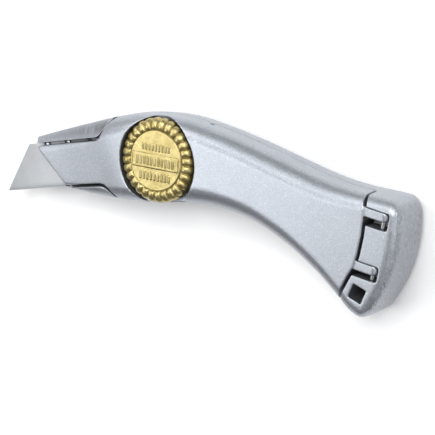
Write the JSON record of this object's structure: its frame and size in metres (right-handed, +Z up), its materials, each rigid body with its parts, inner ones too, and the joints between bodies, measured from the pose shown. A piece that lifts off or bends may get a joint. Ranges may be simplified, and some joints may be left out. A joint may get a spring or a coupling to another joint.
{
  "type": "utility knife",
  "caption": "Fixed-blade utility knife: two-part cast handle, brass thumb knob with a beaded rim, trapezoid blade held in an interlocking nose, hinged side cover and spare-blade store.",
  "frame": {"origin": "centre of the bounding box in plan, on the flat far side that the knife lies on", "axes": "+X along the cutting edge from the blade's tip towards the butt, +Y across the handle towards the spine, +Z up through the knob"},
  "size_m": [0.1918, 0.0853, 0.0233],
  "materials": {
    "frame_casting_paint": "silver-grey metallic enamel with a fine grain, satin",
    "cover_casting_paint": "silver-grey metallic enamel with a fine grain, satin",
    "knob_brass": "die-cast brass, brushed by handling",
    "insert_brass": "turned brass",
    "blade_steel": "ground carbon steel, satin with a bright bevel",
    "spare_blade_steel": "ground carbon steel, lightly oiled",
    "screw_steel": "machined steel, zinc plated",
    "washer_steel": "stamped steel, zinc plated",
    "spring_steel": "hardened spring steel, dark",
    "pin_steel": "ground steel dowel"
  },
  "bodies": {
    "frame": {"main_frame": "frame_casting_paint", "threaded_insert": "insert_brass", "lift_spring": "spring_steel", "blade": "blade_steel", "spare_blade_1": "spare_blade_steel", "spare_blade_2": "spare_blade_steel", "spare_blade_3": "spare_blade_steel", "spare_blade_4": "spare_blade_steel", "spare_blade_5": "spare_blade_steel", "blade_clip": "spring_steel", "clip_screw": "screw_steel", "locating_pin_front": "pin_steel", "locating_pin_rear": "pin_steel", "hinge_pin_upper": "pin_steel", "hinge_pin_lower": "pin_steel"},
    "cover": {"side_cover": "cover_casting_paint", "thrust_washer": "washer_steel"},
    "screw_carrier": {"retaining_clip": "spring_steel"},
    "knob": {"thumb_knob": "knob_brass", "clamp_screw": "screw_steel"}
  },
  "joints": [
    {"name": "cover_swing", "type": "hinge", "parent": "frame", "child": "cover", "pos_m": [0.08915, -0.00479, 0.0203], "axis": [0.3502, 0.9367, 0], "range_deg": [0, 80]},
    {"name": "knob_rise", "type": "slide", "parent": "cover", "child": "screw_carrier", "axis": [0, 0, 1], "range_m": [0, 0.0016]},
    {"name": "knob_turn", "type": "hinge", "parent": "screw_carrier", "child": "knob", "pos_m": [-0.00835, 0.02361, 0.0184], "axis": [0, 0, 1], "range_deg": [0, 720]}
  ],
  "couplings": [
    {"joint": "knob_rise", "follows": "knob_turn", "m_per_rad": 0.00012732}
  ]
}
